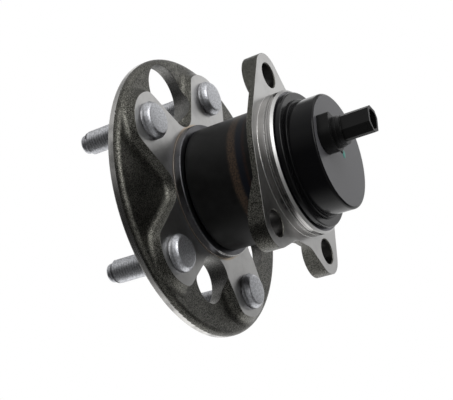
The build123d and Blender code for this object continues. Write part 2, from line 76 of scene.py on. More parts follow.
class NodeTree:
    """A node tree, with short calls that add nodes and join them."""

    def __init__(self, tree: bpy.types.NodeTree) -> None:
        """Takes a tree and empties it."""
        self.tree = tree
        self.tree.nodes.clear()

    def add(self, kind: str, settings: dict | None = None, *values: object,
            **inputs: object) -> bpy.types.Node:
        """Adds a node.

        Args:
            kind: Blender's name of the node type.
            settings: Properties of the node.
            values: Values or sockets for its first inputs, in order.
            inputs: Values or sockets for its inputs by name, with underscores for spaces.

        Returns:
            The new node.
        """
        node = self.tree.nodes.new(kind)
        for name, value in (settings or {}).items():
            setattr(node, name, value)
        for socket, value in zip(node.inputs, values):
            self.feed(socket, value)
        for name, value in inputs.items():
            self.feed(node.inputs[name.replace("_", " ")], value)
        return node

    def feed(self, socket: Socket, value: object) -> None:
        """Joins a socket to another, or sets its value.

        Args:
            socket: An input socket.
            value: The socket that feeds it, or its value, where a colour has no alpha.
        """
        if isinstance(value, bpy.types.NodeSocket):
            self.tree.links.new(value, socket)
        elif isinstance(value, (tuple, list)) and socket.type == "RGBA" and len(value) == 3:
            socket.default_value = (*value, 1.0)
        else:
            socket.default_value = value

    def math(self, operation: str, *values: object) -> Socket:
        """The result of a math node."""
        return self.add("ShaderNodeMath", {"operation": operation}, *values).outputs[0]

    def chain(self, operation: str, values: Sequence[object]) -> Socket:
        """The result of one operation over several numbers or sockets, in order."""
        return reduce(lambda first, second: self.math(operation, first, second), values)

    def dot(self, first: object, second: object) -> Socket:
        """The dot product of two vectors."""
        node = self.add("ShaderNodeVectorMath", {"operation": "DOT_PRODUCT"}, first, second)
        return node.outputs["Value"]

    def mix_shaders(self, share: object, first: Socket, second: Socket) -> Socket:
        """A shader between two shaders."""
        return self.add("ShaderNodeMixShader", None, share, first, second).outputs[0]

    def ramp(self, value: Socket, start: float, end: float, low: float = 0.0,
             high: float = 1.0) -> Socket:
        """A smooth step.

        Args:
            value: The socket that is tested.
            start: The value at which the step starts.
            end: The value at which it ends, above or below the start.
            low: The result before the step.
            high: The result after it.

        Returns:
            The result's socket.
        """
        node = self.add(
            "ShaderNodeMapRange", {"interpolation_type": "SMOOTHSTEP"}, Value=value,
            From_Min=start, From_Max=end, To_Min=low, To_Max=high,
        )
        return node.outputs["Result"]


class Lay(Enum):
    """The way that machining marks run."""

    FACE = "rings over a flat face"
    CYLINDER = "rings around a cylinder"


@dataclass(frozen=True)
class Noise:
    """Fractal noise: cells per millimetre, octaves, and the share of the fine octaves."""

    scale: float
    octaves: float
    fineness: float = 0.55


class NodeBoard(NodeTree):
    """A material's node tree, with patterns laid on the object's own millimetres."""

    def __init__(self, name: str) -> None:
        """Starts an empty material.

        Args:
            name: The material's name.
        """
        self.material = bpy.data.materials.new(name)
        self.material.use_nodes = True
        super().__init__(self.material.node_tree)
        self.output = self.tree.nodes.new("ShaderNodeOutputMaterial")
        self._place = None

    def place(self) -> Socket:
        """Object coordinates in millimetres, from nodes that are added once.

        Returns:
            The vector socket.
        """
        if self._place is None:
            texture = self.add("ShaderNodeTexCoord")
            mapping = self.add("ShaderNodeMapping", Vector=texture.outputs["Object"], Scale=(1 / MM,) * 3)
            self._place = mapping.outputs["Vector"]
        return self._place

    def parts(self) -> tuple[Socket, ...]:
        """The three object coordinates in millimetres, one by one."""
        return tuple(self.add("ShaderNodeSeparateXYZ", Vector=self.place()).outputs)

    def span(self, first: Socket, second: Socket) -> Socket:
        """The length of two distances at right angles."""
        squares = [self.math("POWER", part, 2.0) for part in (first, second)]
        return self.math("SQRT", self.math("ADD", *squares))

    def reach(self) -> Socket:
        """Distance from the spin axis in millimetres."""
        x, _, z = self.parts()
        return self.span(x, z)

    def noise(self, kind: Noise) -> Socket:
        """Noise on the object's millimetres, from 0 to 1."""
        return self.add(
            "ShaderNodeTexNoise", Vector=self.place(), Scale=kind.scale, Detail=kind.octaves,
            Roughness=kind.fineness,
        ).outputs["Fac"]

    def rings(self, pitch: float, lay: Lay) -> Socket:
        """Fine noise that is even around the spin axis, as a lathe or grinder leaves it.

        Args:
            pitch: Width of one mark in millimetres.
            lay: Whether the marks run over a face or a cylinder.

        Returns:
            The noise value socket, from 0 to 1.
        """
        way = self.reach() if lay is Lay.FACE else self.parts()[1]
        vector = self.add("ShaderNodeCombineXYZ", X=self.math("DIVIDE", way, pitch))
        return self.add(
            "ShaderNodeTexNoise", Vector=vector.outputs[0], Scale=1.0, Detail=2.0, Roughness=0.7
        ).outputs["Fac"]

    def band(self, value: Socket, start: float, end: float, fade: float) -> Socket:
        """One between two values, with soft ends.

        Args:
            value: The socket that is tested.
            start: Where the band starts.
            end: Where the band ends.
            fade: Half the width over which each end fades.

        Returns:
            The value socket, from 0 to 1.
        """
        rise = self.ramp(value, start - fade, start + fade)
        fall = self.ramp(value, end + fade, end - fade)
        return self.math("MULTIPLY", rise, fall)

    def mix(self, share: Socket, first: object, second: object) -> Socket:
        """A colour between two colours."""
        node = self.add("ShaderNodeMix", {"data_type": "RGBA"}, Factor=share, A=first, B=second)
        return node.outputs["Result"]

    def blend(self, share: Socket, first: float, second: float) -> Socket:
        """A number between two numbers."""
        node = self.add("ShaderNodeMapRange", Value=share, To_Min=first, To_Max=second)
        return node.outputs["Result"]

    def soft_edges(self, radius: float) -> Socket:
        """A normal that rounds the edges of the mesh.

        Args:
            radius: The rounding in millimetres, or 0 for none.

        Returns:
            The normal socket.
        """
        if radius == 0:
            return self.add("ShaderNodeNewGeometry").outputs["Normal"]
        return self.add("ShaderNodeBevel", {"samples": EDGE_SAMPLES}, Radius=radius * MM).outputs["Normal"]

    def edge_share(self, rounded: Socket, share: float) -> Socket:
        """How far a point lies in a rounded edge: 0 away from the edges, and the share inside one."""
        true = self.add("ShaderNodeNewGeometry").outputs["True Normal"]
        return self.math("MULTIPLY", self.ramp(self.dot(rounded, true), *EDGE_RANGE), share)

    def bump(self, height: Socket, rise: float, under: Socket | None = None) -> Socket:
        """A bumped normal.

        Args:
            height: Height pattern from 0 to 1.
            rise: Height of the pattern in millimetres.
            under: A normal socket that this bump lies on.

        Returns:
            The normal socket.
        """
        node = self.add("ShaderNodeBump", Strength=1.0, Distance=rise * MM, Height=height)
        if under is not None:
            self.feed(node.inputs["Normal"], under)
        return node.outputs["Normal"]

    def shade(self, **inputs: object) -> bpy.types.Material:
        """Closes the tree with a principled shader.

        Args:
            inputs: The shader's sockets, with underscores for spaces.

        Returns:
            The finished material.
        """
        shader = self.add("ShaderNodeBsdfPrincipled", **inputs)
        self.feed(self.output.inputs["Surface"], shader.outputs["BSDF"])
        return self.material


@dataclass(frozen=True)
class Finish:
    """A surface finish, made into a material once."""

    name: str

    def material(self) -> bpy.types.Material:
        """The finish's material, made on its first use."""
        known = bpy.data.materials.get(self.name)
        return known if known is not None else self.make(NodeBoard(self.name))

    def make(self, board: NodeBoard) -> bpy.types.Material:
        """Builds the material's nodes.

        Args:
            board: An empty node tree.

        Returns:
            The finished material.
        """
        raise NotImplementedError


@dataclass(frozen=True)
class Surface(Finish):
    """A finish of the unit's own pieces, with rounded edges and an uneven polish."""

    edge: float = 0.2
    roughness: float = 0.3
    spread: Pair = (0.05, 0.06)  # how far the roughness goes below and above its middle

    def polish(self, board: NodeBoard, pattern: Socket) -> Socket:
        """Roughness that follows a pattern."""
        below, above = self.spread
        return board.blend(pattern, self.roughness - below, self.roughness + above)


@dataclass(frozen=True)
class Forging(Surface):
    """Shot-blasted and oiled forging skin: dark olive grey, with a fine grain."""

    dark: Colour = (0.026, 0.026, 0.022)
    pale: Colour = (0.235, 0.230, 0.205)
    roughness: float = 0.37
    spread: Pair = (0.05, 0.07)
    grain: Noise = Noise(2.1, 2.0, 0.6)
    grit: Noise = Noise(4.2, 2.0, 0.6)
    blotch: Noise = Noise(0.055, 3.0, 0.6)
    blotch_share: float = 0.18
    tones: Pair = (0.46, 0.80)  # pattern values of the dark and the pale colour
    grain_rise: float = 0.085
    grit_rise_share: float = 0.3
    edge: float = 0.55

    def make(self, board: NodeBoard) -> bpy.types.Material:
        """Builds grain, blotches and an uneven sheen.

        Args:
            board: An empty node tree.

        Returns:
            The finished material.
        """
        grain = board.noise(self.grain)
        blotch = board.noise(self.blotch)
        tone = board.math("MULTIPLY_ADD", blotch, self.blotch_share, grain)
        normal = board.bump(grain, self.grain_rise, board.soft_edges(self.edge))
        normal = board.bump(board.noise(self.grit), self.grain_rise * self.grit_rise_share, normal)
        return board.shade(
            Base_Color=board.mix(board.ramp(tone, *self.tones), self.dark, self.pale), Metallic=1.0,
            Roughness=self.polish(board, blotch), Normal=normal,
        )


@dataclass(frozen=True)
class Film:
    """A thin film or a dark patch on steel, fading with the distance from the spin axis or from a place.
    """

    colour: Colour
    fades: float  # distance at which it starts to fade
    ends: float
    share: float
    wave: float  # how far its edge wanders
    waves: Noise
    place: Pair = (0.0, 0.0)  # its middle as (x, z)

    def cover(self, board: NodeBoard) -> Socket:
        """How much of the steel the film covers.

        Args:
            board: The material's node tree.

        Returns:
            The value socket, from 0 to the film's share.
        """
        x, _, z = board.parts()
        away = board.span(*(board.math("SUBTRACT", part, own) for part, own in zip((x, z), self.place)))
        wavy = board.math("MULTIPLY_ADD", board.noise(self.waves), self.wave, away)
        return board.ramp(wavy, self.ends, self.fades, 0.0, self.share)


@dataclass(frozen=True)
class Machined(Surface):
    """Turned, milled or ground steel with fine marks around the spin axis."""

    colour: Colour = (0.50, 0.50, 0.49)
    roughness: float = 0.27
    lay: Lay = Lay.FACE
    pitch: float = 0.35
    mark_rise: float = 0.0035
    stain: float = 0.12  # share of the colour that a stain takes away
    stains: Noise = Noise(0.06, 4.0, 0.6)
    stain_tones: Pair = (0.42, 0.68)
    stain_roughness: float = 0.08
    edge_wear_and_highlight: float = 0.0  # share of a bright steel colour on the rounded edges: part edge wear, part painted highlight
    edge_wear_and_highlight_colour: Colour = (0.88, 0.87, 0.84)
    painted_shade_lines: tuple[Pair, ...] = ()  # dark bands of painted shade as (depth, half width), over a groove and its glints
    painted_shade_tone: float = 0.25
    painted_shade_share: float = 0.7
    painted_shade_fade: Pair = (0.7, 1.4)  # where a line's edge starts and ends, in half widths
    film: Film | None = None
    grain: Noise | None = None
    grain_rise: float = 0.010

    def make(self, board: NodeBoard) -> bpy.types.Material:
        """Builds marks, faint stains, uneven polish and any edge wear with painted highlight, painted
        shade, film and grain.

        Args:
            board: An empty node tree.

        Returns:
            The finished material.
        """
        marks = board.rings(self.pitch, self.lay)
        stains = board.noise(self.stains)
        stained = toned(self.colour, 1 - self.stain)
        colour = board.mix(board.ramp(stains, *self.stain_tones), self.colour, stained)
        rounded = board.soft_edges(self.edge)
        # The rounded edges get a bright steel colour: partly edge wear, partly painted highlight.
        if self.edge_wear_and_highlight > 0:
            colour = board.mix(board.edge_share(rounded, self.edge_wear_and_highlight), colour, self.edge_wear_and_highlight_colour)
        # Dark bands painted at given depths: painted shade over the pilot's groove and the glints at its
        # edges.
        for depth, half_width in self.painted_shade_lines:
            away = board.math("ABSOLUTE", board.math("ADD", board.parts()[1], depth))
            starts, ends = (half_width * factor for factor in self.painted_shade_fade)
            share = board.ramp(away, ends, starts, 0.0, self.painted_shade_share)
            colour = board.mix(share, colour, toned(self.colour, self.painted_shade_tone))
        if self.film is not None:
            colour = board.mix(self.film.cover(board), colour, self.film.colour)
        normal = board.bump(marks, self.mark_rise, rounded)
        if self.grain is not None:
            normal = board.bump(board.noise(self.grain), self.grain_rise, normal)
        return board.shade(
            Base_Color=colour, Metallic=1.0, Normal=normal,
            Roughness=board.math("MULTIPLY_ADD", stains, self.stain_roughness, self.polish(board, marks)),
        )


@dataclass(frozen=True)
class HeatBand:
    """A tempering colour between two depths, even, or broken up by the grit."""

    colour: Colour
    start: float
    end: float
    fade: float
    gritty: bool


@dataclass(frozen=True)
class HeatedBarrel(Surface):
    """Oiled dark barrel with the tempering colours of induction hardening."""

    body: Colour = (0.0045, 0.0045, 0.0045)
    bands: tuple[HeatBand, ...] = (
        HeatBand((0.004, 0.006, 0.012), 44.5, 48.2, 1.2, gritty=False),
        HeatBand((0.052, 0.033, 0.021), 40.0, 44.5, 1.1, gritty=True),
        HeatBand((0.022, 0.009, 0.007), 48.2, 49.6, 0.7, gritty=True),
    )
    even_share: float = 0.8
    grit_shares: Pair = (0.30, 1.0)
    grit: Noise = Noise(1.3, 3.0, 0.7)
    grit_tones: Pair = (0.36, 0.64)
    wave: float = 1.2
    waves: Noise = Noise(0.07, 2.0)
    smoke: Noise = Noise(0.13, 4.0, 0.65)
    smoke_tone: float = 1.8
    smoke_tones: Pair = (0.35, 0.8)
    roughness: float = 0.42
    spread: Pair = (0.08, 0.08)
    specular: float = 0.17
    pitch: float = 0.45
    mark_rise: float = 0.008
    edge: float = 0.3

    def make(self, board: NodeBoard) -> bpy.types.Material:
        """Builds the bands by depth, over a fine turned grain.

        Args:
            board: An empty node tree.

        Returns:
            The finished material.
        """
        centred = board.math("SUBTRACT", board.noise(self.waves), 0.5)
        depth = board.math("SUBTRACT", board.math("MULTIPLY", centred, self.wave), board.parts()[1])
        smoke = board.noise(self.smoke)
        paler = toned(self.body, self.smoke_tone)
        colour = board.mix(board.ramp(smoke, *self.smoke_tones), self.body, paler)
        gritty = board.ramp(board.noise(self.grit), *self.grit_tones, *self.grit_shares)
        for band in self.bands:
            share = board.math(
                "MULTIPLY", board.band(depth, band.start, band.end, band.fade),
                gritty if band.gritty else self.even_share,
            )
            colour = board.mix(share, colour, band.colour)
        marks = board.rings(self.pitch, Lay.CYLINDER)
        return board.shade(
            Base_Color=colour, Metallic=0.0, Specular_IOR_Level=self.specular,
            Roughness=self.polish(board, smoke),
            Normal=board.bump(marks, self.mark_rise, board.soft_edges(self.edge)),
        )


@dataclass(frozen=True)
class Galvanised(Surface):
    """Dull zinc plating with a faint mottle."""

    colour: Colour = (0.62, 0.63, 0.66)
    roughness: float = 0.36
    spread: Pair = (0.08, 0.12)
    mottle: Noise = Noise(1.0, 3.0, 0.65)
    mottle_tone: float = 0.62
    mottle_tones: Pair = (0.36, 0.64)
    grain: Noise = Noise(3.5, 2.0, 0.6)
    rise: float = 0.010
    edge: float = 0.25

    def make(self, board: NodeBoard) -> bpy.types.Material:
        """Builds the mottle and a soft uneven bump.

        Args:
            board: An empty node tree.

        Returns:
            The finished material.
        """
        mottle = board.noise(self.mottle)
        grain = board.noise(self.grain)
        duller = toned(self.colour, self.mottle_tone)
        normal = board.bump(grain, self.rise, board.soft_edges(self.edge))
        return board.shade(
            Base_Color=board.mix(board.ramp(mottle, *self.mottle_tones), duller, self.colour),
            Metallic=0.95, Roughness=self.polish(board, grain),
            Normal=board.bump(mottle, self.rise, normal),
        )


@dataclass(frozen=True)
class Lacquer(Surface):
    """Smooth black coating or moulding with a soft orange peel."""

    colour: Colour = (0.0025, 0.0025, 0.0028)
    roughness: float = 0.16
    spread: Pair = (0.03, 0.05)
    cloud: Noise = Noise(0.08, 3.0, 0.6)
    cloud_tone: float = 1.35
    peel: Noise = Noise(0.35, 2.0)
    peel_rise: float = 0.01
    specular: float = 0.25
    edge: float = 0.3

    def make(self, board: NodeBoard) -> bpy.types.Material:
        """Builds the coat and its peel.

        Args:
            board: An empty node tree.

        Returns:
            The finished material.
        """
        cloud = board.noise(self.cloud)
        peel = board.noise(self.peel)
        return board.shade(
            Base_Color=board.mix(cloud, self.colour, toned(self.colour, self.cloud_tone)),
            Roughness=self.polish(board, cloud), Specular_IOR_Level=self.specular,
            Normal=board.bump(peel, self.peel_rise, board.soft_edges(self.edge)),
        )


@dataclass(frozen=True)
class PaintDab(Finish):
    """Teal inspection paint."""

    colour: Colour = (0.05, 0.25, 0.21)
    roughness: float = 0.45
    streak: Noise = Noise(0.9, 3.0, 0.6)
    streak_tone: float = 0.6
    streak_rise: float = 0.03

    def make(self, board: NodeBoard) -> bpy.types.Material:
        """Builds a streaky coat.

        Args:
            board: An empty node tree.

        Returns:
            The finished material.
        """
        streak = board.noise(self.streak)
        return board.shade(
            Base_Color=board.mix(streak, toned(self.colour, self.streak_tone), self.colour),
            Roughness=self.roughness, Normal=board.bump(streak, self.streak_rise),
        )


@dataclass(frozen=True)
class PaleFloor(Finish):
    """White studio floor that keeps a soft shadow."""

    colour: Colour = (0.85, 0.85, 0.85)
    cloud: Noise = Noise(0.002, 2.0)
    cloud_tone: float = 1.03
    lift: float = 0.30

    def make(self, board: NodeBoard) -> bpy.types.Material:
        """Builds a matt floor, lit up to white for the camera and open to shiny surfaces.

        Args:
            board: An empty node tree.

        Returns:
            The finished material.
        """
        path = board.add("ShaderNodeLightPath").outputs
        paler = toned(self.colour, self.cloud_tone)
        tone = board.mix(board.noise(self.cloud), self.colour, paler)
        matt = board.add("ShaderNodeBsdfDiffuse", Color=tone)
        lift = board.math("MULTIPLY", path["Is Camera Ray"], self.lift)
        glow = board.add("ShaderNodeEmission", Color=WHITE, Strength=lift)
        lit = board.add("ShaderNodeAddShader", None, matt.outputs[0], glow.outputs[0])
        clear = board.add("ShaderNodeBsdfTransparent")
        seen_past = board.math("MAXIMUM", path["Is Glossy Ray"], path["Is Transmission Ray"])
        whole = board.mix_shaders(seen_past, lit.outputs[0], clear.outputs[0])
        board.feed(board.output.inputs["Surface"], whole)
        return board.material


# A darker patch on the turned faces around the bolt hole at x -22.5, z -42, fading out between 12 and 24
# mm from it.
DARK_PATCH = Film(
    (0.125, 0.124, 0.122), fades=12.0, ends=24.0, share=0.8, wave=8.0, waves=Noise(0.10, 3.0),
    place=(-22.5, -42.0),
)
GOLD_TINT = Film(
    (0.46, 0.31, 0.15), fades=37.1, ends=38.0, share=0.50, wave=1.2, waves=Noise(0.12, 3.0),
)
FLOOR = PaleFloor("pale_floor")
FORGED = Forging("forged_skin")
PIERCED = Forging(
    "pierced_steel", dark=(0.14, 0.14, 0.135), pale=(0.36, 0.355, 0.34), roughness=0.38,
    grain_rise=0.05, edge=0.6,
)
TURNED_FACE = Machined(
    "turned_face", colour=(0.50, 0.496, 0.488), roughness=0.27, pitch=0.30, mark_rise=0.004,
    edge=0.45, film=DARK_PATCH,
)
TURNED_RIM = Machined(
    "turned_rim", colour=(0.62, 0.61, 0.59), roughness=0.22, lay=Lay.CYLINDER, stain=0.5, edge=0.4,
)
GROUND_SEAT = Machined(
    "ground_seat", colour=(0.50, 0.49, 0.48), roughness=0.2, lay=Lay.CYLINDER, pitch=0.5, edge=0.45,
)
# Its dark bands at depths 63.8 and 65.2 are painted shade over the groove; its bright edges are partly
# painted highlight.
KNUCKLE_PILOT = Machined(
    "ground_knuckle_pilot", colour=(0.46, 0.45, 0.44), roughness=0.19, lay=Lay.CYLINDER, pitch=0.9,
    mark_rise=0.0008, painted_shade_lines=((63.8, 0.60), (65.2, 0.18)), edge=0.5, edge_wear_and_highlight=0.9,
)
BRIGHT_CHAMFER = Machined(
    "bright_chamfer", colour=(0.46, 0.457, 0.45), roughness=0.32, stain=0.02, edge=0.1,
)
# Its bright edges are partly edge wear, partly painted highlight.
SHOULDER = Machined(
    "ground_shoulder", colour=(0.13, 0.13, 0.14), roughness=0.30, lay=Lay.CYLINDER, pitch=0.5,
    stain=0.45, edge=0.3, edge_wear_and_highlight=0.55,
)
DRILLED = Machined(
    "drilled_wall", colour=(0.15, 0.147, 0.143), roughness=0.30, lay=Lay.CYLINDER, pitch=0.4,
    mark_rise=0.01, edge=0.3,
)
RACEWAY = Machined(
    "raceway_steel", colour=(0.62, 0.62, 0.63), roughness=0.14, pitch=0.3, mark_rise=0.001,
)
SHEET_STEEL = Machined("drawn_sheet", colour=(0.5, 0.5, 0.5), roughness=0.3)
TINNED = Machined("tinned_terminal", colour=(0.72, 0.70, 0.64), roughness=0.25, stain=0.08)
PADS = Machined(
    "milled_pads", colour=(0.52, 0.516, 0.508), roughness=0.29, spread=(0.04, 0.05), pitch=0.5,
    mark_rise=0.003, stain=0.16, stains=Noise(0.09, 4.0, 0.65), stain_tones=(0.40, 0.75),
    stain_roughness=0.06, edge=0.12, film=GOLD_TINT, grain=Noise(1.8, 2.0),
)
BARREL = HeatedBarrel("heated_barrel")
ZINC = Galvanised("zinc_plating")
# Lit and shaded copies of the zinc: a lighter crest finish as painted highlight, a darker root finish as
# painted shade.
THREAD_CREST_HIGHLIGHT = Galvanised(
    "zinc_thread_crest_painted_highlight", colour=(0.70, 0.71, 0.74), roughness=0.30, edge=0.0,
)
THREAD_ROOT_SHADE = Galvanised(
    "zinc_thread_root_painted_shade", colour=(0.20, 0.20, 0.21), roughness=0.45, edge=0.0,
)
SLEEVE_BLACK = Lacquer("sleeve_coating", roughness=0.2, edge=0.4)
CAP_GLOSS = Lacquer("cap_side_gloss", roughness=0.13, specular=0.14, edge=0.2)
CAP_SATIN = Lacquer(
    "cap_face_satin", colour=(0.060, 0.060, 0.064), roughness=0.42, peel=Noise(2.2, 2.0),
    peel_rise=0.012, specular=0.5, edge=0.2,
)
SENSOR_BLACK = Lacquer(
    "sensor_moulding", colour=(0.003, 0.003, 0.003), roughness=0.38, peel=Noise(2.5, 2.0),
)
RUBBER = Lacquer(
    "black_rubber", colour=(0.010, 0.010, 0.010), roughness=0.6, peel=Noise(2.0, 2.0), peel_rise=0.02,
)
CAGE_NATURAL = Lacquer(
    "natural_polyamide", colour=(0.42, 0.36, 0.22), roughness=0.45, peel=Noise(1.5, 2.0),
)
TEAL = PaintDab("inspection_paint")


@dataclass(frozen=True)
class Spot:
    """The middle of a face in millimetres, and the share of its normal that looks at the wheel."""

    x: float
    z: float
    depth: float
    facing: float

    @property
    def reach(self) -> float:
        """Distance from the spin axis."""
        return math.hypot(self.x, self.z)


@dataclass(frozen=True)
class Region:
    """A part of a CAD piece's skin with a finish of its own."""

    finish: Finish
    holds: Callable[[Spot], bool]


@dataclass
class DressedNode:
    """A CAD piece that keeps its shape and gets finishes, region by region."""

    node: str
    finish: Finish
    regions: list[Region] = field(default_factory=list)

    def dress(self) -> None:
        """Assigns the finishes, each to the faces that it covers."""
        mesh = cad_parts[self.node].data
        mesh.materials.clear()
        for finish in [self.finish, *[region.finish for region in self.regions]]:
            mesh.materials.append(finish.material())
        for face in mesh.polygons:
            face.material_index = self.slot_of(face)
        log.info("dressed %s with %d finishes", self.node, len(mesh.materials))

    def slot_of(self, face: bpy.types.MeshPolygon) -> int:
        """Finds the material slot of a face.

        Args:
            face: A face of the piece.

        Returns:
            The slot of the first region that holds the face, or 0.
        """
        x, y, z = (part / MM for part in face.center)
        spot = Spot(x, z, -y, face.normal.y)
        for index, region in enumerate(self.regions, start=1):
            if region.holds(spot):
                return index
        return 0


def new_piece(name: str, shape: bmesh.types.BMesh, finish: Finish) -> bpy.types.Object:
    """Makes an object of a bmesh, which is freed.

    Args:
        name: The piece's name.
        shape: Its mesh, in the frame's metres.
        finish: Its finish.

    Returns:
        The linked object, shaded smooth.
    """
    mesh = bpy.data.meshes.new(name)
    shape.to_mesh(mesh)
    shape.free()
    mesh.materials.append(finish.material())
    for face in mesh.polygons:
        face.use_smooth = True
    piece = bpy.data.objects.new(name, mesh)
    bpy.context.scene.collection.objects.link(piece)
    return piece


@dataclass
class HubFlange:
    """The forged hub with its arms, pilots and raceway."""

    pad_depth: float = 10.5
    shoulder_depth: float = 14.4
    shoulder_radius: float = 36.0
    rim_radius: float = 75.8
    seat_depth: float = 1.0  # depth within which a face belongs to the wheel's side
    brake_pilot_radius: float = 31.0
    pilot_bore_radius: float = 23.5
    undercut_radius: float = 34.2
    spindle_radius: float = 22.2
    window_reach: Pair = (36.0, 73.0)
    window_tilt: float = 0.02

    def in_window(self, at: Spot) -> bool:
        """Whether a face is on the wall of a window."""
        inside = self.window_reach[0] < at.reach < self.window_reach[1] and 0 <= at.depth <= self.pad_depth
        return inside and abs(at.facing) < self.window_tilt

    def on_seat(self, at: Spot) -> bool:
        """Whether a face is on the seat of the wheel."""
        return abs(at.depth) < self.seat_depth and at.facing > FLAT and at.reach > self.brake_pilot_radius

    def on_pilots(self, at: Spot) -> bool:
        """Whether a face is on the pilots of the wheel and the brake disc, or in their undercut."""
        return at.depth < self.seat_depth and self.pilot_bore_radius < at.reach < self.undercut_radius

    def dress(self) -> None:
        """Finishes the hub, from its machined faces to its pierced windows."""
        on_shoulder, inside = self.shoulder_radius + CLOSE, self.shoulder_depth - CLOSE
        regions = [
            Region(PADS, lambda at: abs(at.depth - self.pad_depth) < CLOSE and at.facing < -FLAT),
            Region(RACEWAY, lambda at: at.depth > inside and at.reach < self.spindle_radius),
            Region(SHOULDER, lambda at: at.depth > self.pad_depth + CLOSE and at.reach < on_shoulder),
            Region(TURNED_FACE, self.on_seat),
            Region(TURNED_RIM, lambda at: at.reach > self.rim_radius - CLOSE and abs(at.facing) < SIDE),
            Region(GROUND_SEAT, self.on_pilots),
            Region(PIERCED, self.in_window),
        ]
        DressedNode("hub_flange", FORGED, regions).dress()


@dataclass
class OuterRing:
    """The outer ring with its barrel, knuckle flange and pilot."""

    face_depth: float = 59.8
    ring_end: float = 67.8
    barrel_radius: float = 33.3
    barrel_end: float = 55.6
    bore_radius: float = 31.4
    hole_radius: float = 6.5
    hole_margin: float = 0.1
    holes: tuple[Pair, ...] = ((-22.5, 42.0), (-22.5, -42.0), (31.0, 36.0), (31.0, -36.0))

    def near_hole(self, at: Spot) -> bool:
        """Whether a face is on the wall of a knuckle bolt hole."""
        limit = self.hole_radius + self.hole_margin
        return any(math.hypot(at.x - x, at.z - z) < limit for x, z in self.holes)

    def on_chamfer(self, at: Spot) -> bool:
        """Whether a face slopes between the knuckle pilot and an end face."""
        proud = at.depth > self.face_depth + CLOSE and at.reach > self.bore_radius
        return proud and -FLAT < at.facing < -SIDE

    def dress(self) -> None:
        """Finishes the ring, from its bolt holes to its ground pilot."""
        inside = self.ring_end - CLOSE
        regions = [
            Region(DRILLED, self.near_hole),
            Region(RACEWAY, lambda at: at.reach < self.bore_radius and at.depth < inside),
            Region(BARREL, lambda at: at.reach < self.barrel_radius and at.depth < self.barrel_end),
            Region(TURNED_FACE, lambda at: abs(at.depth - self.face_depth) < CLOSE and at.facing < -FLAT),
            Region(BRIGHT_CHAMFER, self.on_chamfer),
            Region(SHOULDER, lambda at: at.depth > inside and at.facing < -FLAT),
            Region(KNUCKLE_PILOT, lambda at: at.depth > self.face_depth + CLOSE),
        ]
        DressedNode("outer_ring", FORGED, regions).dress()


